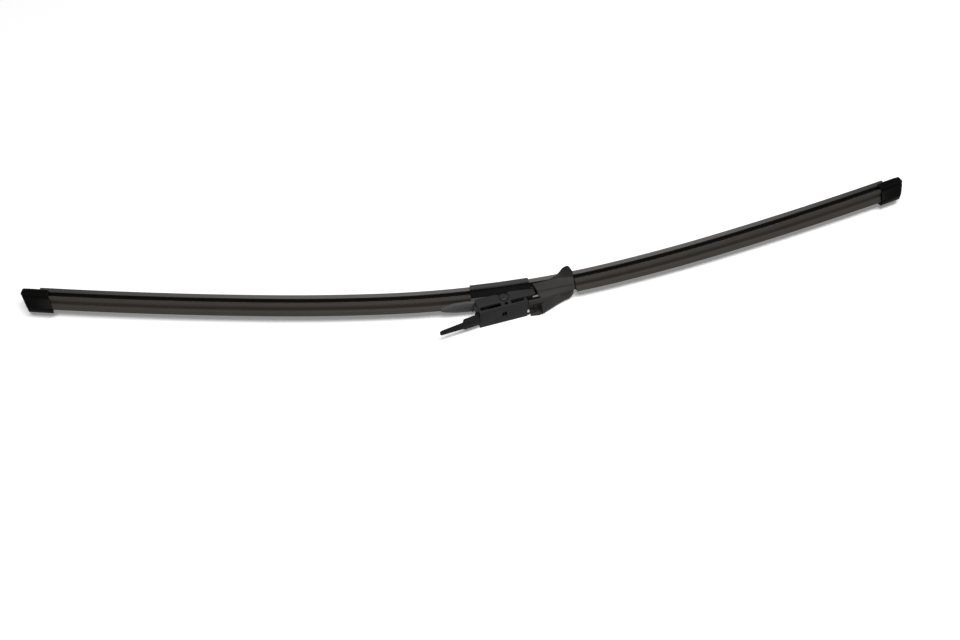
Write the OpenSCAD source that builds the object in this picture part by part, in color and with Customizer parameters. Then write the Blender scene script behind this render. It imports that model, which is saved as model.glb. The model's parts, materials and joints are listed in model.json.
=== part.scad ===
// Flat wiper blade lying on its side, in millimetres.
// X runs along the blade, +Y points to the lip and -Y to the wiper arm, Z is up.
// The origin is on the axis on which the adapter swings, at the surface that the blade lies on.
// A section of the blade is drawn as [height above the lip's edge, distance from the mid-plane].

/* [Blade] */
// Length along the lip from the pivot to the tip of the long side
long_reach = 308.5; // [200:1:450]
// Length along the lip from the pivot to the tip of the short side
short_reach = 299.5; // [180:1:450]
// Bend radius of the lip beside the pivot
bend_near = 580; // [450:10:900]
// Bend radius of the lip further out
bend_mid = 1160; // [900:10:1800]
// Bend radius of the lip towards the tips
bend_far = 2600; // [1800:50:6000]
// Length of the tightest bend, each side of the pivot
near_len = 75; // [60:1:90]
// Length of the middle bend, each side of the pivot
mid_len = 75; // [50:1:95]

/* [Wiper rubber] */
// Thickness of the lip at its wiping edge
lip_edge = 0.7; // [0.5:0.1:1]
// Thickness of the lip at its root
lip_root = 1.5; // [1:0.1:2]
// Height of the lip
lip_h = 4; // [3.4:0.1:4.2]
// Width of the shoulder that stops the lip folding too far
shoulder_w = 3.6; // [3.2:0.1:4.4]
// Height of the shoulder
shoulder_h = 1.2; // [0.8:0.1:1.5]
// Thickness of the web on which the lip tilts
web_w = 1.2; // [0.8:0.1:1.6]
// Height of the web
web_h = 1; // [0.8:0.1:1.3]
// Width of the head that hangs under the springs
head_w = 3.6; // [3.2:0.1:4.4]
// Width of the head above the springs
crest_w = 3.6; // [3:0.1:4]
// Distance that the rubber ends short of the blade's tip
rubber_short = 9; // [8:0.5:10]

/* [Springs] */
// Width of each flat spring
spring_w = 3.1; // [2.9:0.05:3.4]
// Thickness of each flat spring
spring_t = 1; // [0.8:0.1:1.2]
// Height of the springs above the lip's edge
spring_h = 10.2; // [9.8:0.1:10.6]
// Thickness of the rubber between the two springs
between_w = 1.4; // [1:0.1:1.8]
// Distance that the springs end short of the blade's tip
spring_short = 5; // [4:0.5:6]

/* [Spoiler] */
// Height of the whole blade, from the lip's edge to the spoiler's edge
blade_h = 17.8; // [16:0.1:19]
// Width over the spoiler's feet
foot_w = 9.2; // [9:0.1:9.8]
// Thickness of the spoiler's fin at its root
fin_root = 3; // [2.4:0.1:3.6]
// Thickness of the spoiler's fin at its edge
fin_edge = 1.1; // [0.8:0.1:1.4]
// Width that each foot reaches under its spring
foot_hook = 0.9; // [0.6:0.1:1]
// Distance that the spoiler ends short of the blade's tip
spoiler_short = 12; // [11:0.5:13]

/* [End caps] */
// Length of an end cap at its lip side
cap_len = 17; // [16:0.5:24]
// Extra length of an end cap at its arm side
cap_lean = 6; // [4:0.5:8]
// Width of an end cap at its base
cap_w = 12.8; // [12:0.1:13]
// Width of an end cap over the spoiler's edge
cap_crown_w = 5.4; // [5:0.1:7]
// Height of the cap's lip side above the lip's edge
cap_low = 4.8; // [4.4:0.1:5]
// Height of the cap's closed end above the lip's edge
cap_toe_low = 3.2; // [2.6:0.1:3.6]
// Wall of the cap over the spoiler's edge
cap_roof = 1.5; // [1.2:0.1:2]
// Slant of the cap's end, towards the arm side
cap_slant = 36; // [25:1:40]

/* [Connector] */
// Width of the connector, which the blade lies on
connector_w = 15.2; // [14.8:0.1:17]
// Height of the pivot above the lip's edge
pivot_h = 18; // [17.8:0.1:19]
// Radius of the pivot pin
pin_r = 2.9; // [2.5:0.1:3.1]
// Running clearance round the pivot pin
pin_play = 0.06; // [0.02:0.01:0.09]
// Length of the bracket on the long side of the pivot
bracket_long = 19.6; // [18:0.1:21]
// Length of the bracket on the short side of the pivot
bracket_short = 18.7; // [17:0.1:19]
// Width over the rails that grip the springs
rail_w = 14.6; // [13.6:0.1:14.8]
// Width of the tower that carries the pivot pin
tower_w = 7.6; // [7:0.1:9]

/* [Adapter] */
// Angle at which the adapter stands to the blade
swing = 8; // [-7:0.5:12]
// Length of the adapter on the long side of the pivot
adapter_long = 18.5; // [18:0.1:19]
// Length of the adapter's side walls on the short side of the pivot
adapter_short = 20.3; // [19.5:0.1:20.4]
// Height of the arm-side face above the pivot
face_v = 8.2; // [8:0.1:8.6]
// Thickness of the arm-side plate
plate_t = 1.2; // [1:0.1:1.3]
// Length of the arm-side plate on the short side of the pivot
plate_short = 13.7; // [12.5:0.1:14.2]
// Thickness of the side walls
wall_t = 1.8; // [1.5:0.1:1.9]
// Width of the long slots in the side walls
slot_w = 2.9; // [2.6:0.1:3.2]
// Length of the latch hole in the arm-side plate
latch_l = 3.2; // [2.8:0.1:3.6]
// Width of the latch hole
latch_w = 4.6; // [4.2:0.1:5]

/* [Lock lever] */
// Angle that the lever stands open
lever_open = 5; // [3:0.5:5]
// Distance from the pivot to the lever's hinge
hinge_u = 13; // [12:0.1:14]
// Height of the lever's hinge above the pivot
hinge_v = 2.7; // [2.5:0.1:2.9]
// Radius of the lever's hinge pegs
peg_r = 1.2; // [1:0.05:1.3]
// Width of the lever's bar
bar_w = 7.2; // [6:0.1:8]
// Distance from the pivot to the lever's tip
lever_reach = 46.5; // [38:0.5:50]
// Width of the lever's tongue at its tip
tongue_tip_w = 3.8; // [3:0.1:4.4]

/* [Covers] */
// Length from the pivot to the tip of the tail cover
tail_reach = 40.5; // [36:0.5:46]
// Wall of the tail cover over the spoiler's edge
tail_roof = 1.1; // [0.9:0.1:1.6]
// Distance from the pivot to the wing cover
wing_start = 20.6; // [20.5:0.1:21.5]
// Distance from the pivot to the far end of the wing cover
wing_end = 48; // [45:0.5:56]
// Height of the wing cover's arm-side face above the lip's edge
wing_crown = 23; // [22:0.1:24]
// Distance that the wing's edge flares out from the mid-plane
flare_t = 12.6; // [10:0.1:14]
// Wall of the wing cover
wing_wall = 1.5; // [1.2:0.1:2]
// Length of the claw that holds the wing cover
claw_len = 12; // [8:0.5:16]

/* [Hidden] */

black_plastic = [0.13, 0.13, 0.13];
dark_rubber = [0.2, 0.2, 0.2];
spoiler_grey = [0.17, 0.165, 0.16];
spring_black = [0.08, 0.08, 0.09];
pin_grey = [0.3, 0.3, 0.3];

// Clearance between pieces that are pushed together
slip = 0.05;
// Clearance between the caps, the covers and the blade inside them
ease = 0.15;
// Overlap of a cutting shape past the face that it cuts
past = 1;
mid_z = connector_w / 2;
spring_out = between_w / 2 + spring_w + slip;
spring_top = spring_h + spring_t;
shoulder_low = lip_h + 0.2;
shoulder_top = shoulder_low + shoulder_h;
head_low = shoulder_top + web_h + 0.3;
foot_t = foot_w / 2;
// Half of the space that other pieces leave for the rubber
rubber_room = max(head_w, shoulder_w) / 2 + ease;
wall_in = mid_z - wall_t;
face_in = face_v - plate_t;

// The three bends of each side: where each starts, its radius, and the centre of its circle
starts = [0, near_len, near_len + mid_len];
radii = [bend_near, bend_mid, bend_far];
function clamp(v, low, high) = min(max(v, low), high);
function turn(a) = 180 / PI * (min(a, near_len) / bend_near
    + clamp(a - near_len, 0, mid_len) / bend_mid + max(a - near_len - mid_len, 0) / bend_far);
function towards(angle) = [sin(angle), -cos(angle)];
function centre(k) = k == 0 ? [0, pivot_h + bend_near]
    : centre(k - 1) + (radii[k - 1] - radii[k]) * towards(turn(starts[k]));
function bend_at(a) = a < starts[1] ? 0 : a < starts[2] ? 1 : 2;
// Point of the lip's edge at a length from the pivot, on the side where the length is positive
function lip_spot(a) = centre(bend_at(a)) + radii[bend_at(a)] * towards(turn(a));
// Drop of the curved blade towards the lip side, in a section a distance x from the pivot
function sag(x) = bend_near - sqrt(bend_near * bend_near - x * x);

// Outline of a section that is the same above and below the mid-plane
function both_sides(p) = concat(p, [for (i = [len(p) - 1:-1:0]) [p[i][0], -p[i][1]]]);
function arc(c, r, a0, a1, n) = [for (i = [0:n]) c + r * [cos(a0 + (a1 - a0) * i / n),
    sin(a0 + (a1 - a0) * i / n)]];

// Places where a sweep has its sections, between two lengths from the pivot
function steps_to(far, gap) = [for (i = [0:floor(far / gap)]) i * gap];
all_spots = let (side = concat(steps_to(near_len, 10), [for (i = [1:6]) near_len + i * mid_len / 6],
    [for (i = [1:40]) near_len + mid_len + i * 22])) concat(
    [for (i = [len(side) - 1:-1:1]) -side[i]], side);
function spots(from, to) = concat([from],
    [for (v = all_spots) if (v > from + 0.5 && v < to - 0.5) v], [to]);
// Point of a section at a length along the blade, short side positive
function place(len, p) = let (a = abs(len), c = lip_spot(a) + p[0] * towards(turn(a)))
    [len < 0 ? -c[0] : c[0], c[1], mid_z + p[1]];

// Skin through rings of points, each ring turning the same way
// The ends are one face each, or the listed faces of an end
module loft(rings, ends = []) {
    n = len(rings[0]);
    m = len(rings);
    lids = len(ends) > 0 ? ends : [[for (i = [0:n - 1]) i]];
    polyhedron(points = [for (r = rings) each r], faces = concat(
        [for (f = lids) [for (i = [len(f) - 1:-1:0]) f[i]]], [for (f = lids) [for (i = f) (m - 1) * n + i]],
        [for (k = [0:m - 2], i = [0:n - 1], f = [0, 1]) f == 0
            ? [k * n + i, k * n + (i + 1) % n, (k + 1) * n + i]
            : [k * n + (i + 1) % n, (k + 1) * n + (i + 1) % n, (k + 1) * n + i]]));
}
// Sweeps a section along the bent blade, from one length to another
module sweep(section, from, to, ends = []) {
    loft([for (v = spots(from, to)) [for (i = [len(section) - 1:-1:0]) place(v, section[i])]], ends);
}
// Places a shape at the tip of a side, with X outwards and its zero on the lip's edge
module at_tip(reach, side) {
    mirror([side < 0 ? 1 : 0, 0, 0]) translate([lip_spot(reach)[0], lip_spot(reach)[1], mid_z])
        rotate([0, 0, turn(reach)]) children();
}
// Extrudes a section along X
module bar(x0, x1) {
    translate([x0, 0, 0]) rotate([90, 0, 90]) linear_extrude(x1 - x0) mirror([1, 0]) children();
}
// Extrudes a side view, drawn with its second axis towards the arm, between two heights
module plan(z0, z1) {
    translate([0, 0, z0]) linear_extrude(z1 - z0) mirror([0, 1]) children();
}
module on_mid() {
    translate([0, 0, mid_z]) children();
}
module on_adapter() {
    translate([0, 0, mid_z]) rotate([0, 0, swing]) children();
}

// Wiper rubber: lip, shoulder, tilting web, and a head with a groove each side for the springs
rubber_section = both_sides([
    [0, lip_edge / 2], [lip_h * 0.35, lip_edge / 2 + 0.08], [lip_h, lip_root / 2],
    [shoulder_low, shoulder_w / 2 - 0.5], [shoulder_low + 0.3, shoulder_w / 2],
    [shoulder_top, shoulder_w / 2], [shoulder_top + 0.3, web_w / 2],
    [shoulder_top + web_h, web_w / 2], [head_low, head_w / 2 - 0.4],
    [head_low + 0.4, head_w / 2], [spring_h - slip, head_w / 2],
    [spring_h - slip, between_w / 2], [spring_top + slip, between_w / 2],
    [spring_top + slip, crest_w / 2], [spring_top + 0.55, crest_w / 2 - 0.3]]);
module wiper_rubber() {
    color(dark_rubber)
        sweep(rubber_section, rubber_short - long_reach, short_reach - rubber_short);
}

// Flat springs: two equal strips, one in each groove of the rubber
function block(s0, s1, t0, t1) = [[s0, t1], [s1, t1], [s1, t0], [s0, t0]];
module spring(low) {
    color(spring_black) sweep(block(spring_h, spring_top, low, low + spring_w),
        spring_short - long_reach, short_reach - spring_short);
}
module upper_spring() {
    spring(between_w / 2 + slip);
}
module lower_spring() {
    spring(-spring_out);
}

// Spoiler: hooked feet that hold the springs, a sloping roof and a fin
hook_t = spring_out - foot_hook;
spoiler_out = [[spring_h - 1, hook_t], [spring_h - 0.9, spring_out - 0.4],
    [spring_h + 0.1, foot_t - 0.15], [spring_h + 0.45, foot_t], [spring_top + 0.3, foot_t],
    [spring_top + 0.65, foot_t - 0.2], [spring_top + 1.7, foot_t - 1.1],
    [spring_top + 2.2, fin_root / 2 + 0.5], [spring_top + 2.6, fin_root / 2],
    [spring_top + 3.6, fin_root / 2 - 0.3], [spring_top + 4.6, fin_edge / 2 + 0.25],
    [blade_h - fin_edge / 2, fin_edge / 2], [blade_h - 0.15, fin_edge / 4]];
spoiler_section = both_sides(concat([[spring_top + 0.75, crest_w / 2 + 0.1],
    [spring_top + slip, crest_w / 2 + 0.1], [spring_top + slip, spring_out + slip],
    [spring_h - slip, spring_out + slip], [spring_h - slip, hook_t]], spoiler_out));
// Faces that close an end of the spoiler: the two feet, then the roof and the fin
foot_faces = [[3, 4, 5, 6], [3, 6, 7], [2, 3, 7, 8], [2, 8, 9], [2, 9, 10], [1, 2, 10, 11],
    [0, 1, 11], [0, 11, 12]];
spoiler_ends = concat(foot_faces,
    [for (f = foot_faces) [for (i = [len(f) - 1:-1:0]) 35 - f[i]]],
    [[0, 12, 23, 35]], [for (i = [12:16]) [i, i + 1, 34 - i, 35 - i]]);
module long_spoiler() {
    color(spoiler_grey)
        sweep(spoiler_section, spoiler_short - long_reach, -bracket_long - ease, spoiler_ends);
}
module short_spoiler() {
    color(spoiler_grey)
        sweep(spoiler_section, wing_end + ease, short_reach - spoiler_short, spoiler_ends);
}
// Room for the spoiler inside another piece, with clearance all round
function spoiler_room(extra) = [[spring_h - 1 - extra, foot_t + extra],
    [spring_top + 0.7 + extra, foot_t + extra], [spring_top + 1.8 + extra, foot_t - 1.1 + extra],
    [spring_top + 2.4 + extra, fin_root / 2 + 0.5 + extra],
    [spring_top + 3 + extra, fin_root / 2 + extra], [blade_h + extra, fin_edge / 2 + extra]];

// End caps: a stepped moulding pushed over the springs, slanted at its end
cap_top = blade_h + cap_roof;
cap_step = spring_top + 0.6;
cap_half = cap_w / 2;
module cap_base() {
    polygon(both_sides([[cap_low, cap_half - 1.9], [cap_low + 1.6, cap_half - 0.2],
        [cap_low + 2.1, cap_half], [cap_step, cap_half], [cap_step + 0.5, cap_half - 1.1],
        [cap_step + 1.3, cap_half - 1.1]]));
}
module cap_crown() {
    polygon(both_sides([[cap_step + 1, cap_half - 1.1], [cap_step + 1.5, cap_half - 0.7],
        [cap_step + 2.2, cap_half - 0.7], [cap_top - 1.3, cap_crown_w / 2],
        [cap_top - 0.4, cap_crown_w / 2 - 0.5], [cap_top, cap_crown_w / 2 - 1.4]]));
}
// Outer part, closed over the end of the rubber
module cap_toe() {
    polygon(both_sides([[cap_toe_low, 1.6], [cap_toe_low + 0.3, 2.2], [cap_low, cap_half - 1.9],
        [cap_low + past, cap_half - 1.9]]));
}
// Side view of the cap: its end slants, its mouth reaches further at the arm side
slant_run = (cap_top - cap_low - 4) * tan(cap_slant);
cap_back = -cap_len - cap_lean;
module cap_view() {
    polygon([[-cap_len, cap_toe_low - past], [-4.6, cap_toe_low - past],
        [-3.4, cap_low - 0.4], [-0.8, cap_low + 2.4], [-0.1, cap_low + 3.3], [0, cap_low + 4.1],
        [-0.4, cap_low + 5], [1.6 - slant_run, cap_top - 1.6], [0.6 - slant_run, cap_top - 0.5],
        [-slant_run - 1.6, cap_top + past], [cap_back - 0.5, cap_top + past],
        [cap_back, cap_top - 1], [-cap_len - 1, cap_low + 4], [-cap_len, cap_low]]);
}
module cap_solid() {
    difference() {
        intersection() {
            union() {
                bar(cap_back - past, 0) cap_base();
                bar(cap_back - past, 0) cap_crown();
                bar(0.6 - rubber_short, 0) cap_toe();
            }
            plan(-cap_half - past, cap_half + past) cap_view();
        }
        // Bevels along the upper and lower edge of the slanted end
        for (side = [0, 1]) mirror([0, 0, side]) translate([-1.4, -cap_low - 2, cap_half])
            rotate([0, 0, cap_slant]) rotate([0, -35, 0]) translate([0, -50, -50])
            cube([50, 100, 100]);
    }
}
module end_cap(reach, side) {
    back = cap_back - 2 * past;
    color(black_plastic) at_tip(reach, side) difference() {
        cap_solid();
        bar(back, ease - spoiler_short) polygon(both_sides(spoiler_room(ease)));
        bar(back, ease - rubber_short) translate([-past, -rubber_room])
            square([spring_top + 0.7 + past, 2 * rubber_room]);
        bar(back, ease - spring_short) translate([spring_h - ease, -spring_out - ease])
            square([spring_t + 2 * ease, 2 * (spring_out + ease)]);
    }
}
module long_end_cap() {
    end_cap(long_reach, -1);
}
module short_end_cap() {
    end_cap(short_reach, 1);
}

// Base bracket: rails that grip both springs, a bed, and the tower for the pivot pin
bed_top = spring_top + 1.6;
tower_r = 4;
rail_half = rail_w / 2;
rail_low = 4.6;
rail_section = both_sides([[spring_top + 0.75, crest_w / 2 + 0.2],
    [spring_top + slip, crest_w / 2 + 0.2], [spring_top + slip, spring_out + slip],
    [spring_h - slip, spring_out + slip], [spring_h - slip, rubber_room + 0.1],
    [rail_low + 0.6, rubber_room + 0.1], [rail_low, rubber_room + 0.7],
    [rail_low, rail_half - 0.2], [rail_low + 0.2, rail_half], [8, rail_half],
    [8.2, spring_out + 1], [spring_h - 1, spring_out + 1], [spring_h - 0.8, spring_out + 1.7],
    [spring_top - 0.2, spring_out + 1.7], [spring_top + 0.3, spring_out + 1.2],
    [bed_top, spring_out]]);
half_faces = [[5, 6, 7, 8, 9, 10], [4, 5, 10, 11], [3, 4, 11], [3, 11, 12], [3, 12, 13],
    [2, 3, 13, 14], [2, 14, 15], [1, 2, 15], [0, 1, 15]];
rail_ends = concat(half_faces, [for (f = half_faces) [for (i = [len(f) - 1:-1:0]) 31 - f[i]]],
    [[0, 15, 16, 31]]);
module tower_view() {
    circle(r = tower_r, $fn = 64);
    polygon([[-9.5, bed_top - pivot_h - 0.6], [-9.5, bed_top - pivot_h + 0.6],
        [-tower_r, 0], [tower_r, 0], [8.5, bed_top - pivot_h + 0.6],
        [8.5, bed_top - pivot_h - 0.6]]);
}
module base_bracket() {
    color(black_plastic) difference() {
        union() {
            sweep(rail_section, -bracket_long, bracket_short, rail_ends);
            on_mid() plan(-tower_w / 2, tower_w / 2) tower_view();
        }
        on_mid() translate([0, 0, -tower_w]) cylinder(r = pin_r, h = 2 * tower_w, $fn = 96);
        // Slanted corners of the rails on the short side
        on_mid() for (side = [0, 1]) mirror([0, 0, side])
            translate([bracket_short - 0.8, 0, rail_half]) rotate([0, -45, 0])
            translate([0, 0, -10]) cube([20, 30, 20]);
    }
}

// Pivot pin: pressed through the tower, its two ends carry the adapter
pin_end = mid_z;
module pivot_pin() {
    color(pin_grey) on_mid() rotate_extrude($fn = 96) polygon([[0, -pin_end],
        [pin_r - 0.4, -pin_end], [pin_r, -pin_end + 0.4], [pin_r, pin_end - 0.4],
        [pin_r - 0.4, pin_end], [0, pin_end]]);
}

// Adapter: two side walls snapped over the pin, joined by the arm-side plate and a rib
wall_low = 2.6;
wall_high = face_in - slot_w - 0.1;
slot_right = adapter_short - 4.4;
flange_from = 15.4;
module side_wall_view(right_high) {
    difference() {
        union() {
            polygon([[-adapter_long, -2.8], [-adapter_long, face_v], [3.2, face_v],
                [3.2, right_high], [adapter_short, right_high],
                [adapter_short + 0.2, right_high - 0.6], [adapter_short, -0.6],
                [4.6, -wall_low - 0.8], [3.4, -wall_low], [-3.4, -wall_low],
                [-4.6, -wall_low - 0.8], [0.6 - adapter_long, -wall_low - 0.8]]);
            translate([-1, face_in - 0.1]) square([plate_short + 1, plate_t + 0.1]);
        }
        translate([-adapter_long + 1, wall_high]) square([adapter_long - 4.6, slot_w]);
        translate([3.2, wall_high]) square([slot_right, slot_w]);
        // Snap jaws round the pin, open towards the blade
        circle(r = pin_r + pin_play, $fn = 96);
        polygon([[-2.3, -1.5], [2.3, -1.5], [3.1, -wall_low - past], [-3.1, -wall_low - past]]);
    }
}
module adapter_body() {
    color(black_plastic) on_adapter() difference() {
        union() {
            plan(wall_in, mid_z - 0.2) side_wall_view(wall_high);
            plan(0.2 - mid_z, -wall_in) intersection() {
                side_wall_view(face_v - 0.6);
                translate([-adapter_long - past, -wall_low - past])
                    square([adapter_long + flange_from + past, face_v + wall_low + 2 * past]);
            }
            // Thin flange over the wing cover's step
            plan(1.35 - mid_z, 1.95 - mid_z) side_wall_view(face_v - 0.6);
            // Shelf inside each wall, beside the slots
            for (side = [0, 1]) mirror([0, 0, side]) plan(wall_in - 1.7, wall_in + past / 2)
                translate([4.4, wall_high - 0.7]) square([plate_short - 4.4, 0.7]);
            plan(-wall_in - past / 2, wall_in + past / 2) {
                translate([-adapter_long, face_in]) square([adapter_long + plate_short, plate_t]);
                translate([plate_short - 1.4, -0.4]) square([1.4, face_in + plate_t / 2 + 0.4]);
                // Floor of the open end
                translate([plate_short - 1.4, -0.4]) square([adapter_short - plate_short + 1, 1.1]);
            }
            // Ears at the lever's end
            for (side = [0, 1]) mirror([0, 0, side]) plan(wall_in - 0.8, wall_in + 0.6)
                polygon([[-adapter_long - 2.4, 1.6], [-adapter_long + 0.4, 0.8],
                    [-adapter_long + 0.4, 6.2], [-adapter_long - 2.2, 5.4]]);
        }
        // Recess round each end of the pin, latch hole, and the small hole between the slots
        for (side = [-1, 1]) mirror([0, 0, side < 0 ? 1 : 0]) {
            translate([0, 0, mid_z - 1]) cylinder(r = pin_r + 0.9, h = 2, $fn = 64);
            translate([0, -5.6, wall_in - 1]) cylinder(r = 1.2, h = 4, $fn = 32);
            translate([-hinge_u, -hinge_v, wall_in - 1])
                cylinder(r = peg_r + pin_play, h = 1.9, $fn = 48);
        }
        translate([-1.9 - latch_l / 2, -face_v - past, -latch_w / 2])
            cube([latch_l, plate_t + 2 * past, latch_w]);
    }
}

// Lock lever: a bar on two pegs inside the adapter, with a latch nose and a tapered tongue
bar_low = 5;
bar_high = face_in - 0.8;
module lever_view() {
    polygon([[-hinge_u - 2, bar_low], [-hinge_u - 1.4, hinge_v], [-hinge_u + 1.4, hinge_v],
        [-hinge_u + 2, bar_low + 0.45], [-0.6, bar_low + 0.45], [-0.6, face_v - 0.4],
        [-3.1, face_v - 0.4], [-3.1, bar_high], [-adapter_long - 0.9, bar_high],
        [-adapter_long - 0.9, face_v], [-lever_reach, face_v], [-lever_reach, face_v - 1],
        [-adapter_long - 12, face_v - 1.5], [-adapter_long - 11, bar_low + 0.3],
        [-adapter_long - 2, bar_low]]);
    translate([-hinge_u, hinge_v]) circle(r = 1.6, $fn = 48);
}
module lock_lever() {
    half = bar_w / 2;
    root = adapter_long + 11;
    color(black_plastic) on_adapter() translate([-hinge_u, -hinge_v, 0])
        rotate([0, 0, lever_open]) translate([hinge_u, hinge_v, 0]) {
            intersection() {
                plan(-half, half) lever_view();
                // The tongue narrows towards its tip, and the nose fits the latch hole
                rotate([90, 0, 0]) translate([0, 0, -20]) linear_extrude(60)
                    polygon([[5, -latch_w / 2 + 0.4], [5, latch_w / 2 - 0.4],
                        [-3.5, latch_w / 2 - 0.4], [-4.5, half], [-root, half],
                        [-root - 1.5, half - 1.1], [-lever_reach + 1, tongue_tip_w / 2],
                        [-lever_reach, tongue_tip_w / 2 - 0.8], [-lever_reach, 0.8 - tongue_tip_w / 2],
                        [-lever_reach + 1, -tongue_tip_w / 2], [-root - 1.5, 1.1 - half],
                        [-root, -half], [-4.5, -half], [-3.5, 0.4 - latch_w / 2]]);
            }
            translate([-hinge_u, -hinge_v, -wall_in - 0.7])
                cylinder(r = peg_r, h = 2 * (wall_in + 0.7), $fn = 48);
        }
}

// Smooth value between rows of a station table, each row starting with its place
function ease_step(t) = t * t * (3 - 2 * t);
function blend(rows, x, col, k = 0) = k >= len(rows) - 2 || x <= rows[k + 1][0]
    ? rows[k][col] + (rows[k + 1][col] - rows[k][col])
        * ease_step(clamp((x - rows[k][0]) / (rows[k + 1][0] - rows[k][0]), 0, 1))
    : blend(rows, x, col, k + 1);

// Tail cover: a leaf-shaped saddle over the fin, seated on the bracket under the adapter
// Stations: place, low edge height, ridge height, half width, all before the blade's sag
tail_ridge = blade_h + tail_roof;
tail_rows = [[-tail_reach, 15.2, blade_h + 0.6, 1.3], [3 - tail_reach, 14.4, tail_ridge - 0.2, 2.7],
    [10 - tail_reach, 13.8, tail_ridge, 4.2], [17 - tail_reach, 13.6, tail_ridge, 4.6],
    [-bracket_long - 1.6, 13.8, tail_ridge, 4.5], [-bracket_long + 2, 14.2, tail_ridge - 0.8, 4]];
module tail_cover() {
    rows = tail_rows;
    rings = [for (i = [0:14]) let (x = rows[0][0] + (rows[5][0] - rows[0][0]) * i / 14,
            low = blend(rows, x, 1), top = blend(rows, x, 2), w = blend(rows, x, 3),
            mid = (low + top) / 2, tall = (top - low) / 2)
        [for (a = [0:24:336]) [x, pivot_h + sag(x) - mid - tall * cos(a),
            mid_z + w * sign(sin(a)) * pow(abs(sin(a)), 1.2)]]];
    color(black_plastic) difference() {
        union() {
            loft(rings);
            on_mid() plan(-tower_w / 2, tower_w / 2) polygon([[-bracket_long - 1, bed_top - pivot_h],
                [-10, bed_top - pivot_h], [-10, bed_top - pivot_h + 1.5],
                [-bracket_long + 2, bed_top - pivot_h + 3.6], [-bracket_long - 1, 0]]);
        }
        sweep(both_sides(spoiler_room(ease)), -tail_reach - 5, -bracket_long);
    }
}

// Wing cover: a fairing from the adapter down to the fin, flared out on its upper side
// Stations: place, height and distance of the upper edge, upper side, its crease's height,
// lower side, height of its lower corner
wing_rows = [[wing_start, 10.8, 7.6, 7.6, wing_crown - 0.2, 7.6, wing_crown + 2.6],
    [wing_start + 9, 10.4, 7.6, 7.6, wing_crown - 0.4, 7.6, wing_crown - 0.3],
    [wing_start + 18, 7.4, flare_t - 3, 7.6, wing_crown - 2, 7.5, wing_crown - 3.8],
    [wing_end - 4, 5.4, flare_t, 7.3, wing_crown - 3.8, 7.3, wing_crown - 5.8],
    [wing_end, 8.4, flare_t - 3, 6.9, wing_crown - 5.2, 6.9, wing_crown - 8.4]];
function wing_view(x, thin) = let (edge_s = blend(wing_rows, x, 1),
        edge_t = blend(wing_rows, x, 2) - thin, up = blend(wing_rows, x, 3) - thin,
        crease = blend(wing_rows, x, 4) - thin, down = thin - blend(wing_rows, x, 5),
        keel = blend(wing_rows, x, 6) - thin, bulge = max(crease, keel) + 0.2)
    [[edge_s, down], [keel - 2.6, down], [keel - 0.8, down + 0.4], [keel, down + 1.5],
        [(keel + 2 * bulge) / 3, down / 2], [(crease + 2 * bulge) / 3, up / 3],
        [crease + 0.1, up - 2], [crease - 0.2, up - 0.7], [crease - 1, up],
        [(crease + 12) / 2, up - 0.3], [12.4, up],
        [edge_s + (12.4 - edge_s) * 0.45, up + (edge_t - up) * 0.35], [edge_s, edge_t]];
claw_at = (wing_start + wing_end) / 2 - 1.5;
claw_half = 6.7;
tongue_from = plate_short + 1.7;
// The left end slants back towards the arm side
function wing_ring(x) = let (out = wing_view(x, 0), in = wing_view(x, wing_wall),
        lean = 0.28 * max(0, 1 - (x - wing_start) / 15))
    [for (p = concat(out, [for (i = [len(in) - 1:-1:0]) in[i]]))
        [x + lean * (p[0] - 10.8), pivot_h + sag(x) - p[0], mid_z + p[1]]];
module wing_cover() {
    n = len(wing_view(wing_start, 0));
    color(black_plastic) {
        loft([for (i = [0:12]) wing_ring(wing_start + (wing_end - wing_start) * i / 12)],
            [for (i = [0:n - 2]) [i, i + 1, 2 * n - 2 - i, 2 * n - 1 - i]]);
        // Claw that grips the springs
        translate([lip_spot(claw_at)[0], lip_spot(claw_at)[1], mid_z]) rotate([0, 0, turn(claw_at)])
            bar(-claw_len / 2, claw_len / 2) difference() {
                polygon(both_sides([[spring_h - 1, rubber_room], [spring_h - 1, claw_half - 0.6],
                    [spring_h - 0.4, claw_half], [spring_h + 3.2, claw_half]]));
                translate([spring_h - ease, -spring_out - ease])
                    square([spring_t + 2 * ease, 2 * (spring_out + ease)]);
                translate([0, -rubber_room]) square([spring_top + 0.7, 2 * rubber_room]);
            }
        // Step of the lower side that reaches under the adapter's open end
        on_mid() plan(-mid_z, 1 - mid_z) polygon([[flange_from + 1.6, 3.4],
            [flange_from + 1.6, 6.8], [wing_start + 2, 7], [wing_start + 6.4, 5.2],
            [wing_start + 6.4, 3.4]]);
        // Tongue that stops the adapter's swing
        on_mid() plan(2.4, wall_in - 0.4) polygon([[tongue_from, 4.4], [wing_start + 4.6, 3.4],
            [wing_start + 4.6, 5.2], [tongue_from, 5.7]]);
    }
}

wiper_rubber();
upper_spring();
lower_spring();
long_spoiler();
short_spoiler();
long_end_cap();
short_end_cap();
base_bracket();
pivot_pin();
adapter_body();
lock_lever();
tail_cover();
wing_cover();
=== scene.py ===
import json
import math

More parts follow.
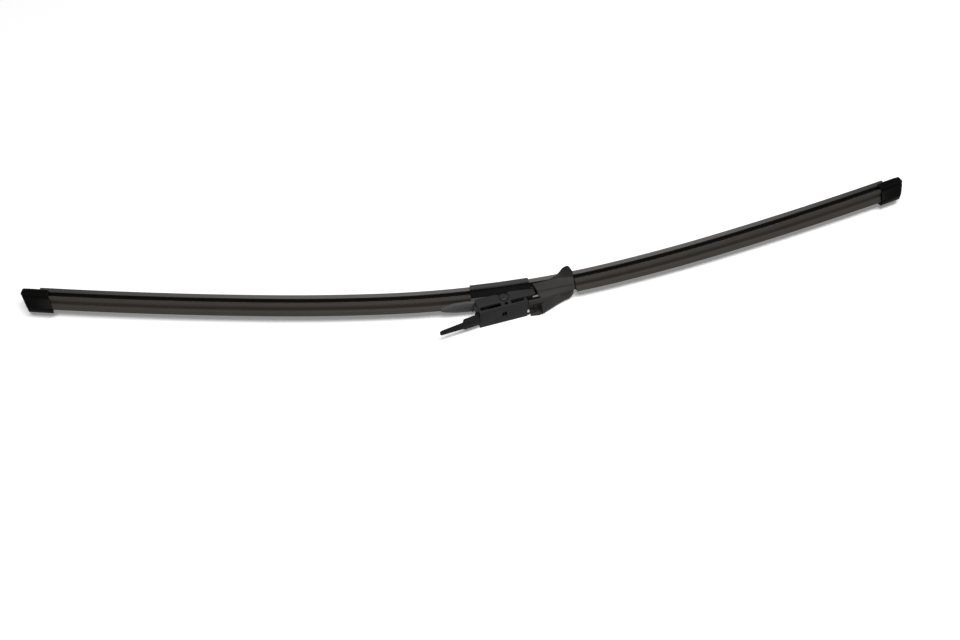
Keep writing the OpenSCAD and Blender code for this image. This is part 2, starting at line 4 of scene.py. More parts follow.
import bmesh
import bpy
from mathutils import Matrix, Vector


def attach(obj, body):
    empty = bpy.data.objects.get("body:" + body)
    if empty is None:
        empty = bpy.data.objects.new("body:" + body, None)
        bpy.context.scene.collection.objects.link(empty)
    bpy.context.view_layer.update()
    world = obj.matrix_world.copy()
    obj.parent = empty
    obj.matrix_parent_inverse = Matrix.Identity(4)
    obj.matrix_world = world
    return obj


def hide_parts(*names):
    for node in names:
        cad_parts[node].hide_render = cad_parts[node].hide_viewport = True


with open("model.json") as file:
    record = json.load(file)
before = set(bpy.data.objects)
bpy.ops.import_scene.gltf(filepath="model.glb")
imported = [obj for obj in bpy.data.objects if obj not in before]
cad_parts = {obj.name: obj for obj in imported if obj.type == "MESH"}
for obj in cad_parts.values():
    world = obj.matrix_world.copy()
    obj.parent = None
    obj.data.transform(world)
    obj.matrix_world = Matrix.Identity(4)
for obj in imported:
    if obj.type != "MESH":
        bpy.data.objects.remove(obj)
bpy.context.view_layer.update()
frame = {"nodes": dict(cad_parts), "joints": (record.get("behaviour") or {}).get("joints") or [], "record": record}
scene = bpy.context.scene
MM = 0.001


# Studio
# A seamless white table under one wide soft lamp, high above the blade and a little towards the
# camera, so that the faces turned to the camera are darker than those that look up.

# The camera, found from the blade's bend, length and widths in the photograph
CAMERA_AT = Vector((-102.3, -478.0, 573.6)) * MM
LOOK_AT = Vector((-17.2, -10.3, 7.6)) * MM
LENS_MM = 43.46
SENSOR_MM = 36.0
# In metres from here on in the studio
NEAREST_SEEN = 0.01
LAMP_AT = Vector((0.1, -0.35, 1.6))
LAMP_SIZE = (1.6, 0.6)
LAMP_WATTS = 31.0
SKY_LIGHT = 0.12
TABLE_SIZE = 6.0
WHITE = (1.0, 1.0, 1.0)
# The paper's colour as it is seen, and as it throws light back on the blade, then its own glow
PAPER_SEEN = (0.92, 0.92, 0.92)
PAPER_CARD = (0.4, 0.4, 0.4)
PAPER_GLOW = 0.22
PAPER_ROUGH = 0.9


def aimed(spot, target):
    """Turn of a camera or a lamp that stands at a spot and points at a target."""
    return (target - spot).to_track_quat("-Z", "Y").to_euler()


camera_data = bpy.data.cameras.new("camera")
camera_data.lens = LENS_MM
camera_data.sensor_width = SENSOR_MM
camera_data.clip_start = NEAREST_SEEN
camera = bpy.data.objects.new("camera", camera_data)
camera.location = CAMERA_AT
camera.rotation_euler = aimed(CAMERA_AT, LOOK_AT)
scene.collection.objects.link(camera)
scene.camera = camera
scene.view_settings.view_transform = "Standard"

lamp_data = bpy.data.lights.new("key_lamp", "AREA")
lamp_data.shape = "RECTANGLE"
lamp_data.size, lamp_data.size_y = LAMP_SIZE
lamp_data.energy = LAMP_WATTS
lamp = bpy.data.objects.new("key_lamp", lamp_data)
lamp.location = LAMP_AT
lamp.rotation_euler = aimed(LAMP_AT, Vector((0.0, 0.0, 0.0)))
scene.collection.objects.link(lamp)

world = bpy.data.worlds.new("studio")
scene.world = world
world.use_nodes = True
sky = world.node_tree.nodes["Background"]
sky.inputs["Color"].default_value = (*WHITE, 1.0)
sky.inputs["Strength"].default_value = SKY_LIGHT

table_bm = bmesh.new()
bmesh.ops.create_grid(table_bm, x_segments=1, y_segments=1, size=TABLE_SIZE / 2)
table_mesh = bpy.data.meshes.new("table")
table_bm.to_mesh(table_mesh)
table_bm.free()
table = bpy.data.objects.new("table", table_mesh)
scene.collection.objects.link(table)


def feed(material, socket, value):
    """Gives a socket a number, a colour, or what comes out of another node."""
    if isinstance(value, bpy.types.NodeSocket):
        material.node_tree.links.new(value, socket)
    elif isinstance(value, tuple):
        socket.default_value = (*value, 1.0)
    else:
        socket.default_value = value


def result_of(material, operation, *values):
    """Result of one Math node."""
    node = material.node_tree.nodes.new("ShaderNodeMath")
    node.operation = operation
    for socket, value in zip(node.inputs, values):
        feed(material, socket, value)
    return node.outputs["Value"]


def colour_between(material, share, first, second):
    """A colour that runs from the first to the second as the share goes from 0 to 1."""
    node = material.node_tree.nodes.new("ShaderNodeMix")
    node.data_type = "RGBA"
    feed(material, node.inputs["Factor"], share)
    feed(material, node.inputs["A"], first)
    feed(material, node.inputs["B"], second)
    return node.outputs["Result"]


# Seen directly or in a reflection the paper is white and glows a little, while the light that
# it throws back on the blade is that of a grey card
paper = bpy.data.materials.new("white_paper")
paper.use_nodes = True
nodes = paper.node_tree.nodes
rays = nodes.new("ShaderNodeLightPath")
seen = result_of(paper, "MAXIMUM", rays.outputs["Is Camera Ray"], rays.outputs["Is Glossy Ray"])
lit = nodes["Principled BSDF"]
lit.inputs["Roughness"].default_value = PAPER_ROUGH
lit.inputs["Specular IOR Level"].default_value = 0.0
feed(paper, lit.inputs["Base Color"], colour_between(paper, seen, PAPER_CARD, PAPER_SEEN))
glow = nodes.new("ShaderNodeEmission")
glow.inputs["Color"].default_value = (*WHITE, 1.0)
feed(paper, glow.inputs["Strength"], result_of(paper, "MULTIPLY", seen, PAPER_GLOW))
both = nodes.new("ShaderNodeAddShader")
feed(paper, both.inputs[0], lit.outputs["BSDF"])
feed(paper, both.inputs[1], glow.outputs["Emission"])
feed(paper, nodes["Material Output"].inputs["Surface"], both.outputs["Shader"])
table_mesh.materials.append(paper)


# Wiper rubber
# One extrusion of black natural rubber: a thin lip, a shoulder, the web on which the lip tilts,
# and a head whose two grooves take the flat springs. The lip is coated with grey graphite.

# The blade's length and bend, both along the lip's edge and counted from the pivot
LONG_REACH = 308.5
SHORT_REACH = 299.5
NEAR_LEN = 75.0
MID_LEN = 75.0
MID_END = NEAR_LEN + MID_LEN
BEND_NEAR = 580.0
BEND_MID = 1160.0
BEND_FAR = 2600.0
# The arcs from the long tip to the short one: where each ends, and its radius
ARCS = ((-MID_END, BEND_FAR), (-NEAR_LEN, BEND_MID), (NEAR_LEN, BEND_NEAR), (MID_END, BEND_MID),
        (math.inf, BEND_FAR))
MIDDLE_ARC = 2
# Height of the pivot above the lip's edge, and of the blade's mid-plane, in which the adapter's
# joint lies, above the table
PIVOT_H = 18.0
MID_Z = next(j for j in frame["joints"] if j["name"] == "adapter_pivot")["pos_m"][2] / MM
# Usual step of an extrusion, the length that is too short for one, and how close points join
STATION_GAP = 5.0
SHORTEST = 0.001
WELD = 0.0005


def heading(length):
    """Angle by which the blade has turned at a length from the pivot, in radians."""
    away = abs(length)
    turned = min(away, NEAR_LEN) / BEND_NEAR + min(max(away - NEAR_LEN, 0.0), MID_LEN) / BEND_MID
    turned += max(away - MID_END, 0.0) / BEND_FAR
    return math.copysign(turned, length)


def outwards_at(length):
    """Direction from the centre of the bend through the blade, towards the arm."""
    return Vector((math.sin(heading(length)), -math.cos(heading(length)), 0.0))


def arc_centre(k):
    """Centre of an arc of the lip's edge, in millimetres, in the plane of the bend."""
    centre = Vector((0.0, PIVOT_H + BEND_NEAR, 0.0))
    step = 1 if k > MIDDLE_ARC else -1
    for j in range(MIDDLE_ARC, k, step):
        joint = ARCS[j][0] if step > 0 else ARCS[j - 1][0]
        centre += (ARCS[j][1] - ARCS[j + step][1]) * outwards_at(joint)
    return centre


def arc_of(length):
    """Number of the arc in which a length from the pivot lies."""
    return next(k for k, (end, radius) in enumerate(ARCS) if length < end)


def on_blade(length, height, side):
    """Point of a section: height above the lip's edge, distance from the mid-plane."""
    k = arc_of(length)
    spot = arc_centre(k) + (ARCS[k][1] + height) * outwards_at(length)
    return Vector((spot.x, spot.y, MID_Z + side)) * MM


def mirrored(half):
    """A section that is the same above and below the mid-plane."""
    return half + [(height, -side) for height, side in reversed(half)]


def mark_height(bm, k):
    """Notes for each vertex how high it lies above the lip's edge, along one arc of the bend."""
    height = bm.verts.layers.float.new("height")
    middle = arc_centre(k) * MM
    for vert in bm.verts:
        vert[height] = (vert.co.xy - middle.xy).length - ARCS[k][1] * MM


def extruded(section, start, end, rounding, segments):
    """Spins a section along the bend, arc by arc, after rounding its corners."""
    bm = bmesh.new()
    bm.faces.new([bm.verts.new(on_blade(start, height, side)) for height, side in section])
    bmesh.ops.bevel(bm, geom=bm.verts[:], offset=rounding * MM, segments=segments, profile=0.5,
                    affect="VERTICES", material=-1, clamp_overlap=True)
    mark_height(bm, arc_of(start))
    edges = bm.edges[:]
    at = start
    while at < end - SHORTEST:
        k = arc_of(at)
        stop = min(end, ARCS[k][0])
        grown = bmesh.ops.spin(bm, geom=edges, cent=arc_centre(k) * MM, axis=(0.0, 0.0, 1.0),
                               angle=(stop - at) / ARCS[k][1],
                               steps=max(1, round((stop - at) / STATION_GAP)))
        edges = [e for e in grown["geom_last"] if isinstance(e, bmesh.types.BMEdge)]
        at = stop
    bmesh.ops.contextual_create(bm, geom=edges)
    bmesh.ops.remove_doubles(bm, verts=bm.verts[:], dist=WELD * MM)
    bmesh.ops.recalc_face_normals(bm, faces=bm.faces[:])
    return bm


def finish_piece(bm, name, material, body, node, sharp_deg=40.0):
    """Makes the object, gives it its finish and lets it ride on its body."""
    mesh = bpy.data.meshes.new(name)
    bm.to_mesh(mesh)
    bm.free()
    mesh.shade_smooth()
    mesh.set_sharp_from_angle(angle=math.radians(sharp_deg))
    mesh.materials.append(material)
    piece = bpy.data.objects.new(name, mesh)
    scene.collection.objects.link(piece)
    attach(piece, body)
    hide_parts(node)


def grain_group():
    """Surface grain, per metre on the piece: the height of its fine part, and faint patches."""
    tree = bpy.data.node_groups.new("surface_grain", "ShaderNodeTree")
    given = tree.nodes.new("NodeGroupInput")
    out = tree.nodes.new("NodeGroupOutput")
    where = tree.nodes.new("ShaderNodeTexCoord")
    for scale, result, detail in (("Grain Scale", "Height", 2.0), ("Patch Scale", "Patch", 3.0)):
        tree.interface.new_socket(scale, in_out="INPUT", socket_type="NodeSocketFloat")
        tree.interface.new_socket(result, in_out="OUTPUT", socket_type="NodeSocketFloat")
        noise = tree.nodes.new("ShaderNodeTexNoise")
        noise.inputs["Detail"].default_value = detail
        tree.links.new(where.outputs["Object"], noise.inputs["Vector"])
        tree.links.new(given.outputs[scale], noise.inputs["Scale"])
        tree.links.new(noise.outputs["Fac"], out.inputs[result])
    return tree


GRAIN = grain_group()
GRAIN_STRENGTH = 0.5
PATCH_SCALE = 60.0
PATCH_GLOSS = 0.06


def black_finish(name, tones, rough=0.55, grain=2200.0, depth=0.03, specular=0.35):
    """A black surface: two tones in faint patches, and grain of a depth in millimetres."""
    material = bpy.data.materials.new(name)
    material.use_nodes = True
    nodes = material.node_tree.nodes
    shader = nodes["Principled BSDF"]
    shader.inputs["Specular IOR Level"].default_value = specular
    surface = nodes.new("ShaderNodeGroup")
    surface.name = "surface"
    surface.node_tree = GRAIN
    surface.inputs["Grain Scale"].default_value = grain
    surface.inputs["Patch Scale"].default_value = PATCH_SCALE
    patch = surface.outputs["Patch"]
    feed(material, shader.inputs["Base Color"], colour_between(material, patch, *tones))
    gloss = nodes.new("ShaderNodeMapRange")
    gloss.inputs["To Min"].default_value = rough - PATCH_GLOSS
    gloss.inputs["To Max"].default_value = rough + PATCH_GLOSS
    feed(material, gloss.inputs["Value"], patch)
    feed(material, shader.inputs["Roughness"], gloss.outputs["Result"])
    bump = nodes.new("ShaderNodeBump")
    bump.inputs["Strength"].default_value = GRAIN_STRENGTH
    bump.inputs["Distance"].default_value = depth * MM
    feed(material, bump.inputs["Height"], surface.outputs["Height"])
    feed(material, shader.inputs["Normal"], bump.outputs["Normal"])
    return material


# Between these places, from the pivot to a tip, a band darkens to what it is at the tips
FADE_FROM = 0.5 * LONG_REACH
FADE_TO = 0.9 * LONG_REACH


def band_below(material, limit, tones, tip_share=1.0):
    """Lays two other tones over a finish, below a height above the lip's edge.

    At the blade's tips they keep only a share of their brightness."""
    nodes = material.node_tree.nodes
    base = nodes["Principled BSDF"].inputs["Base Color"]
    height = nodes.new("ShaderNodeAttribute")
    height.attribute_name = "height"
    below = result_of(material, "LESS_THAN", height.outputs["Fac"], limit * MM)
    where = nodes.new("ShaderNodeTexCoord")
    along = nodes.new("ShaderNodeSeparateXYZ")
    feed(material, along.inputs["Vector"], where.outputs["Object"])
    fade = nodes.new("ShaderNodeMapRange")
    fade.inputs["From Min"].default_value = FADE_FROM * MM
    fade.inputs["From Max"].default_value = FADE_TO * MM
    fade.inputs["To Min"].default_value = 1.0
    fade.inputs["To Max"].default_value = tip_share
    feed(material, fade.inputs["Value"], result_of(material, "ABSOLUTE", along.outputs["X"]))
    faded = nodes.new("ShaderNodeVectorMath")
    faded.operation = "SCALE"
    patch = nodes["surface"].outputs["Patch"]
    feed(material, faded.inputs["Vector"], colour_between(material, patch, *tones))
    feed(material, faded.inputs["Scale"], fade.outputs["Result"])
    laid = colour_between(material, below, base.links[0].from_socket, faded.outputs["Vector"])
    feed(material, base, laid)


LIP_EDGE = 0.7
LIP_ROOT = 1.5
LIP_H = 4.0
SHOULDER_W = 3.6
SHOULDER_TOP = 5.4
WEB_W = 1.2
WEB_TOP = 6.4
HEAD_W = 3.6
CHAMFER = 0.3
RUBBER_SHORT = 9.0
# The springs' place and size, which the head's grooves and the spoiler go by
SPRING_H = 10.2
SPRING_T = 1.0
SPRING_TOP = SPRING_H + SPRING_T
SPRING_W = 3.1
BETWEEN_W = 1.4
SLIP = 0.05
# A half section's points: height above the lip's edge, and distance from the mid-plane
RUBBER_HALF = [(0.0, LIP_EDGE / 2), (1.4, 0.43), (LIP_H, LIP_ROOT / 2), (LIP_H + 0.2, 1.3),
               (LIP_H + 0.5, SHOULDER_W / 2), (SHOULDER_TOP, SHOULDER_W / 2),
               (SHOULDER_TOP + CHAMFER, WEB_W / 2), (WEB_TOP, WEB_W / 2),
               (WEB_TOP + CHAMFER, 1.4), (WEB_TOP + 0.7, HEAD_W / 2),
               (SPRING_H - SLIP, HEAD_W / 2), (SPRING_H - SLIP, BETWEEN_W / 2),
               (SPRING_TOP + SLIP, BETWEEN_W / 2), (SPRING_TOP + SLIP, HEAD_W / 2),
               (SPRING_TOP + 0.55, HEAD_W / 2 - CHAMFER)]
COAT_TOP = 4.1
RUBBER_TONES = ((0.002, 0.0018, 0.0016), (0.004, 0.0036, 0.0034))
COAT_TONES = ((0.105, 0.098, 0.094), (0.13, 0.122, 0.117))

rubber_black = black_finish("rubber_black", RUBBER_TONES, rough=0.6, grain=1800.0, depth=0.02,
                            specular=0.08)
band_below(rubber_black, COAT_TOP, COAT_TONES, tip_share=0.45)
rubber_shape = extruded(mirrored(RUBBER_HALF), RUBBER_SHORT - LONG_REACH,
                        SHORT_REACH - RUBBER_SHORT, rounding=0.05, segments=1)
finish_piece(rubber_shape, "rubber_strip", rubber_black, "blade", "wiper_rubber")


# Flat springs
# Two strips of spring steel with a black coat, bent more than the glass is, so that they press
# the lip along it. They lie in the rubber's grooves, and are the CAD nodes with a finish.

SPRING_TONES = ((0.02, 0.02, 0.022), (0.03, 0.03, 0.032))

spring_coat = black_finish("spring_coat", SPRING_TONES, rough=0.4, grain=3000.0, depth=0.005)
for node in ("upper_spring", "lower_spring"):
    spring_mesh = frame["nodes"][node].data
    spring_mesh.materials.clear()
    spring_mesh.materials.append(spring_coat)


# Spoiler
# Two lengths of a softer black extrusion, clipped over the springs on each side of the
# connector: hooked feet, a sloping roof and a thin fin with a groove along its root.

BLADE_H = 17.8
FOOT = 4.6
CREST = HEAD_W / 2 + 0.1
SPRING_OUT = BETWEEN_W / 2 + SPRING_W + SLIP
FOOT_HOOK = 0.9
FIN_ROOT = 3.0
FIN_EDGE = 1.1
SPOILER_HALF = [(SPRING_TOP + 0.75, CREST), (SPRING_TOP + SLIP, CREST),
                (SPRING_TOP + SLIP, SPRING_OUT + SLIP), (SPRING_H - SLIP, SPRING_OUT + SLIP),
                (SPRING_H - SLIP, SPRING_OUT - FOOT_HOOK),
                (SPRING_H - 1.0, SPRING_OUT - FOOT_HOOK), (SPRING_H - 0.9, SPRING_OUT - 0.4),
                (SPRING_H + 0.1, FOOT - 0.15), (SPRING_H + 0.45, FOOT), (SPRING_TOP + 0.3, FOOT),
                (SPRING_TOP + 0.65, FOOT - 0.2), (SPRING_TOP + 1.7, FOOT - 1.1),
                (SPRING_TOP + 2.0, 1.9), (SPRING_TOP + 2.25, 0.9), (SPRING_TOP + 2.6, 1.3),
                (SPRING_TOP + 3.1, 1.35), (SPRING_TOP + 3.6, FIN_ROOT / 2 - 0.3),
                (SPRING_TOP + 4.6, FIN_EDGE / 2 + 0.25), (BLADE_H - FIN_EDGE / 2, FIN_EDGE / 2),
                (BLADE_H - 0.15, 0.28)]
# Where it ends: short of the tips, and just beyond the bracket and the wing cover
SPOILER_SHORT = 12.0
BRACKET_LONG = 19.6
WING_END = 48.0
EASE = 0.15
# A painted highlight: the hooks under the springs are painted paler, as where their edge catches the lamp, and
# less so at the tips
HOOK_HIGHLIGHT_TOP = 10.5
SPOILER_TONES = ((0.034, 0.03, 0.026), (0.044, 0.039, 0.034))
HOOK_HIGHLIGHT_TONES = ((0.06, 0.056, 0.052), (0.075, 0.07, 0.065))

spoiler_black_and_highlight = black_finish("spoiler_black_and_highlight", SPOILER_TONES, grain=1500.0, depth=0.02,
                             specular=0.12)
# Paints a highlight on the hooks under the springs
band_below(spoiler_black_and_highlight, HOOK_HIGHLIGHT_TOP, HOOK_HIGHLIGHT_TONES, tip_share=0.6)
for name, node, start, end in (
        ("spoiler_long_side", "long_spoiler", SPOILER_SHORT - LONG_REACH, -BRACKET_LONG - EASE),
        ("spoiler_short_side", "short_spoiler", WING_END + EASE, SHORT_REACH - SPOILER_SHORT)):
    spoiler_shape = extruded(mirrored(SPOILER_HALF), start, end, rounding=0.12, segments=2)
    finish_piece(spoiler_shape, name, spoiler_black_and_highlight, "blade", node)


# End caps
# Two stepped mouldings of black plastic, pushed over the ends of the springs and the spoiler.
# Their closed ends are slanted and blunt, and stop short of the length that the blade spans.

# How close points of a solid join, below what angle two faces become one, and above what angle
# the edge between them is rounded
SOLID_WELD = 0.002
FLAT_DEG = 1.0
CORNER_DEG = 28.0


def rounded_copy(node, rounding, cut_at=None, cut_away=None):
    """The solid's own shape with its edges rounded, after a cut where one is given."""
    bm = bmesh.new()
    bm.from_mesh(frame["nodes"][node].data)
    bmesh.ops.remove_doubles(bm, verts=bm.verts[:], dist=SOLID_WELD * MM)
    bmesh.ops.dissolve_limit(bm, angle_limit=math.radians(FLAT_DEG), verts=bm.verts[:],
                             edges=bm.edges[:])
    if cut_at:
        cut = bmesh.ops.bisect_plane(bm, geom=bm.verts[:] + bm.edges[:] + bm.faces[:],
                                     plane_co=cut_at, plane_no=cut_away, clear_outer=True)
        rim = [e for e in cut["geom_cut"] if isinstance(e, bmesh.types.BMEdge)]
        bmesh.ops.edgeloop_fill(bm, edges=rim)
    corners = [e for e in bm.edges if len(e.link_faces) == 2
               and e.calc_face_angle(0.0) > math.radians(CORNER_DEG)]
    bmesh.ops.bevel(bm, geom=corners, offset=rounding * MM, segments=2, profile=0.5,
                    affect="EDGES", material=-1, clamp_overlap=True)
    return bm


def finish_moulding(shape, name, material, body, node):
    """Finishes a piece that is moulded from black plastic."""
    finish_piece(shape, name, material, body, node, sharp_deg=35.0)


CAP_BLUNT = 1.1
CAP_WIDEST_H = 9.0
CAP_ROUNDING = 0.4
CAP_TONES = ((0.003, 0.0028, 0.0028), (0.005, 0.0047, 0.0045))

cap_black = black_finish("cap_black", CAP_TONES, rough=0.45, depth=0.02, specular=0.04)
for name, node, tip in (("cap_long_side", "long_end_cap", -LONG_REACH),
                        ("cap_short_side", "short_end_cap", SHORT_REACH)):
    facing = math.copysign(1.0, tip)
    tipwards = Vector((math.cos(heading(tip)), math.sin(heading(tip)), 0.0)) * facing
    blunt_at = on_blade(tip - facing * CAP_BLUNT, CAP_WIDEST_H, 0.0)
    cap_shape = rounded_copy(node, CAP_ROUNDING, blunt_at, tipwards)
    finish_moulding(cap_shape, name, cap_black, "blade", node)


# Base bracket
# A moulding of black plastic whose rails grip both springs, with the tower for the pivot pin on
# its bed. Its bed and tower are painted near black as the shade between the rails and the
# adapter's walls, and its rails, on the lip's side below their hooks, are painted paler as lit.

EDGE_ROUNDING = 0.12
LIT_RAIL_TOP = 8.1
BRACKET_SHADE_TONES = ((0.005, 0.005, 0.005), (0.007, 0.007, 0.007))
RAIL_LIT_TONES = ((0.05, 0.048, 0.047), (0.06, 0.058, 0.057))

bracket_lit_and_shaded = black_finish("bracket_lit_and_shaded", BRACKET_SHADE_TONES, rough=0.6, specular=0.05)
# Paints the rails paler as lit, over the rest of the bracket painted dark as shade
band_below(bracket_lit_and_shaded, LIT_RAIL_TOP, RAIL_LIT_TONES)
bracket_shape = rounded_copy("base_bracket", EDGE_ROUNDING)
mark_height(bracket_shape, MIDDLE_ARC)
finish_moulding(bracket_shape, "bracket", bracket_lit_and_shaded, "blade", "base_bracket")


# Pivot pin
# A turned pin of steel with a black coat, pressed through the bracket's tower. The adapter
# swings on its two ends.

PIN_ROUNDING = 0.1
PIN_TONES = ((0.02, 0.02, 0.02), (0.03, 0.03, 0.03))

pin_black = black_finish("pin_black", PIN_TONES, rough=0.35, grain=3000.0, depth=0.005)
finish_piece(rounded_copy("pivot_pin", PIN_ROUNDING), "pin", pin_black, "blade",
             "pivot_pin")


# Adapter
# The moulding of black plastic that takes the wiper arm: two slotted side walls, joined by the
# arm-side plate and snapped over the pin. Skirts on the lower wall are dark sheets put in as
# painted shade, which make its slots look dark.

# The adapter stands turned on its pin, as its arm-side face says
ARM_FACE = next(m for m in frame["record"]["mounts"] if m["name"] == "arm_face")["axis"]
ADAPTER_TURN = math.atan2(ARM_FACE[0], -ARM_FACE[1])
# Each painted-shade skirt's start and end along the adapter and its edge, then the line from which
# both skirts hang. The edges and that line lie on the lip's side of the pin, so they are negative
SHADE_SKIRTS = ((-16.0, -4.8, -7.0), (4.8, 15.0, -5.8))
SHADE_SKIRT_TOP = -2.4
SHADE_SKIRT_Z = (0.4, 1.6)
ADAPTER_TONES = ((0.026, 0.025, 0.0255), (0.033, 0.032, 0.0325))


def on_adapter(along, armwards):
    """A place on the adapter, as X and distance towards the arm of the blade."""
    return (along * math.cos(ADAPTER_TURN) + armwards * math.sin(ADAPTER_TURN),
            armwards * math.cos(ADAPTER_TURN) - along * math.sin(ADAPTER_TURN))


def add_plate(bm, outline, low, high):
    """Adds a plate: an outline in X and distance towards the arm, between two heights."""
    verts = [bm.verts.new(Vector((x, -armwards, low)) * MM) for x, armwards in outline]
    grown = bmesh.ops.extrude_face_region(bm, geom=[bm.faces.new(verts)])
    top = [v for v in grown["geom"] if isinstance(v, bmesh.types.BMVert)]
    bmesh.ops.translate(bm, verts=top, vec=(0.0, 0.0, (high - low) * MM))


adapter_black = black_finish("moulded_black", ADAPTER_TONES, specular=0.08)
adapter_shape = rounded_copy("adapter_body", EDGE_ROUNDING)
# Dark skirts under the slots, put in as painted shade
for start, end, edge in SHADE_SKIRTS:
    corners = ((start, edge), (start, SHADE_SKIRT_TOP), (end, SHADE_SKIRT_TOP), (end, edge))
    add_plate(adapter_shape, [on_adapter(*corner) for corner in corners], *SHADE_SKIRT_Z)
bmesh.ops.recalc_face_normals(adapter_shape, faces=adapter_shape.faces[:])
finish_moulding(adapter_shape, "adapter", adapter_black, "adapter", "adapter_body")


# Lock lever
# A bar of black plastic with a tapered tongue, moulded in one with the two pegs on which it
# turns in the adapter's left end. Its nose fits the hole in the arm-side plate.

LEVER_ROUNDING = 0.2
LEVER_TONES = ((0.011, 0.011, 0.011), (0.015, 0.015, 0.015))

lever_black = black_finish("lever_black", LEVER_TONES, specular=0.06)
finish_moulding(rounded_copy("lock_lever", LEVER_ROUNDING), "release_lever", lever_black, "lever",
                "lock_lever")


# Tail cover
# A leaf-shaped moulding that sits on the bracket and straddles the spoiler's fin, on the long
# side of the adapter. It is paler than the other mouldings and shines more.

TAIL_TONES = ((0.062, 0.06, 0.06), (0.075, 0.073, 0.073))

tail_black = black_finish("tail_black", TAIL_TONES, specular=0.25)
finish_moulding(rounded_copy("tail_cover", EDGE_ROUNDING), "tail_fairing", tail_black, "blade",
                "tail_cover")


# Wing cover
# A thin moulded fairing on the short side of the adapter, flared out on its upper side, with two
# shallow steps along it. A claw inside, which isn't drawn, holds it on the springs.

WING_WALL = 1.5
WING_RINGS = 44
WING_ROOT_H = 12.4
# Stations: place, height and distance of the upper edge, upper side, its crease's height,
# lower side, height of the lower corner
WING_ROWS = ((20.6, 10.8, 7.6, 7.6, 22.8, 7.6, 25.6), (25.0, 10.6, 7.6, 7.6, 22.8, 7.6, 24.2),
             (29.6, 10.2, 7.6, 7.6, 22.5, 7.6, 22.7), (34.5, 8.9, 8.2, 7.5, 21.8, 7.55, 20.9),
             (38.6, 7.3, 9.8, 7.1, 20.9, 7.5, 19.2), (41.6, 5.9, 12.3, 6.4, 20.0, 7.4, 18.1),
             (45.4, 5.4, 12.5, 5.6, 18.7, 7.2, 17.0), (WING_END, 8.4, 9.4, 5.0, 17.6, 6.9, 14.4))
WING_START, EDGE_H = WING_ROWS[0][:2]
# Rounded lower corner: distance below the corner's height, and in from the lower side
WING_CORNER = ((2.6, 0.0), (0.8, 0.4), (0.0, 1.5))
# The arm side between that corner and the crease: how far it stands out, then in, and how far
# below the crease and in from the upper side it ends
WING_BULGE = 0.1
WING_HOLLOW = 0.2
CREASE_DROP = 0.7
CREASE_IN = 3.4
# Steps of the upper side: share of the way from the root to the crease, and depth
WING_STEPS = ((0.88, 2.5), (0.8, 2.1), (0.6, 1.4), (0.5, 1.4), (0.42, 0.2), (0.3, 0.0),
              (0.0, 0.0))
# Where the flare turns outwards: share of the way to its edge, in height and in distance
FLARE_TURN = (0.55, 0.35)
# The edge stands out no further than this
FLARE_REACH = 12.5
# The left end slants back towards the arm, less and less over this length
WING_SLANT = 0.28
SLANT_LEN = 15.0
# A dark step under the adapter's open end, put in as painted shade so that the pocket there looks dark, and the
# tongue that stops its swing
SHADE_STEP_PLATE = ((17.0, -2.5), (17.0, 6.8), (22.6, 7.0), (27.0, 5.2), (27.0, -2.5))
SHADE_STEP_Z = (0.0, 1.0)
TONGUE = ((15.4, 4.4), (25.2, 3.4), (25.2, 5.2), (15.4, 5.7))
TONGUE_Z = (10.0, 13.0)
# Painted shade: the flare is painted darker than the rest of the fairing
FLARE_SHADE_H = 10.3
WING_TONES = ((0.036, 0.035, 0.033), (0.045, 0.043, 0.041))
FLARE_SHADE_TONES = ((0.017, 0.0168, 0.0165), (0.022, 0.0217, 0.0213))


def along_rows(rows, x, column):
    """Smooth value between the rows of a station table."""
    last = len(rows) - 1
    k = next((i for i in range(last) if x <= rows[i + 1][0]), last - 1)

    def slope(i):
        low = rows[max(i - 1, 0)]
        high = rows[min(i + 1, last)]
        return (high[column] - low[column]) / (high[0] - low[0])

    gap = rows[k + 1][0] - rows[k][0]
    t = (x - rows[k][0]) / gap
    return ((1 + 2 * t) * (1 - t) ** 2 * rows[k][column] + t * (1 - t) ** 2 * gap * slope(k)
            + t * t * (3 - 2 * t) * rows[k + 1][column] + t * t * (t - 1) * gap * slope(k + 1))


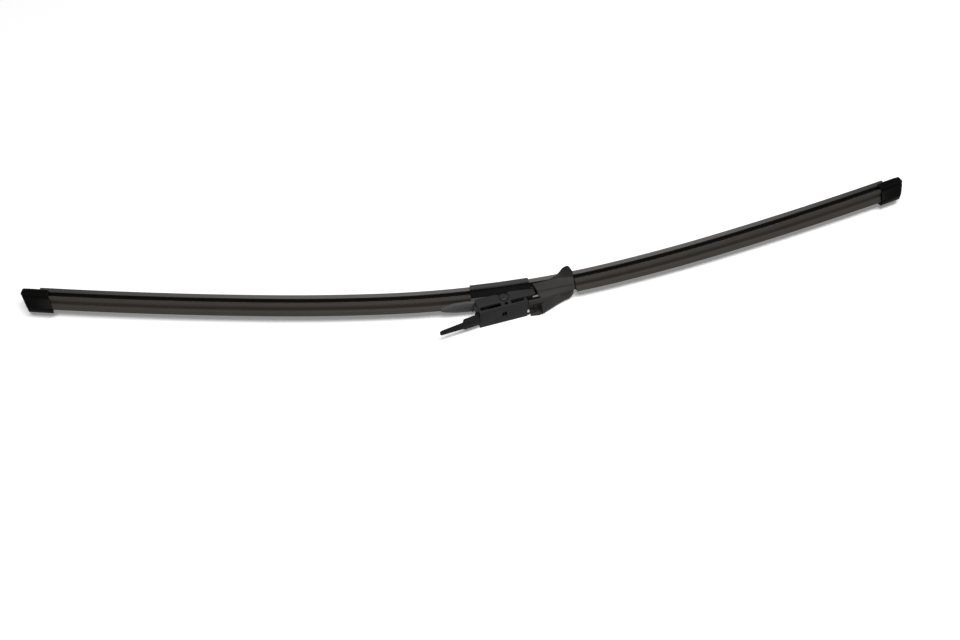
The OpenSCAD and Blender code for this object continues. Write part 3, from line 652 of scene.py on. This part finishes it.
def wing_view(x, inset):
    """Section of the fairing, from its lower edge round to its upper one, set in by a wall."""
    edge_h, edge_t, up, crease, down, keel = (along_rows(WING_ROWS, x, c) for c in range(1, 7))
    edge_t = min(edge_t, FLARE_REACH) - inset
    up, crease, down, keel = up - inset, crease - inset, down - inset, keel - inset
    view = [(edge_h, -down)]
    view += [(keel - below, within - down) for below, within in WING_CORNER]
    view += [(keel + WING_BULGE, -down / 2), (min(crease, keel) - WING_HOLLOW, up / 3),
             (crease - CREASE_DROP, up - CREASE_IN)]
    view += [(WING_ROOT_H + share * (crease - WING_ROOT_H), up - depth)
             for share, depth in WING_STEPS]
    turn_h, turn_t = FLARE_TURN
    view += [(WING_ROOT_H + (edge_h - WING_ROOT_H) * turn_h, up + (edge_t - up) * turn_t)]
    return view + [(edge_h, edge_t)]


def wing_ring(x):
    """Closed section of the wall at a place along the blade: outside, then inside."""
    slant = WING_SLANT * max(0.0, 1 - (x - WING_START) / SLANT_LEN)
    sag = BEND_NEAR - math.sqrt(BEND_NEAR ** 2 - x * x)
    outline = wing_view(x, 0.0) + wing_view(x, WING_WALL)[::-1]
    return [Vector((x + slant * (h - EDGE_H), PIVOT_H + sag - h, MID_Z + t)) * MM
            for h, t in outline]


def wing_shape():
    """The fairing's wall, lofted through its rings, with the painted-shade step and the tongue."""
    bm = bmesh.new()
    rings = [[bm.verts.new(spot)
              for spot in wing_ring(WING_START + (WING_END - WING_START) * i / WING_RINGS)]
             for i in range(WING_RINGS + 1)]
    for near, far in zip(rings, rings[1:]):
        for i in range(len(near)):
            bm.faces.new((near[i - 1], near[i], far[i], far[i - 1]))
    for ring in (rings[0], rings[-1]):
        for i in range(1, len(ring) // 2):
            bm.faces.new((ring[i - 1], ring[i], ring[-i - 1], ring[-i]))
    # A dark step under the adapter's open end, as painted shade
    add_plate(bm, SHADE_STEP_PLATE, *SHADE_STEP_Z)
    add_plate(bm, TONGUE, *TONGUE_Z)
    bmesh.ops.recalc_face_normals(bm, faces=bm.faces[:])
    mark_height(bm, MIDDLE_ARC)
    return bm


wing_black_and_shade = black_finish("wing_black_and_shade", WING_TONES, specular=0.08)
# Paints shade on the flare
band_below(wing_black_and_shade, FLARE_SHADE_H, FLARE_SHADE_TONES)
finish_moulding(wing_shape(), "wing_fairing", wing_black_and_shade, "blade", "wing_cover")
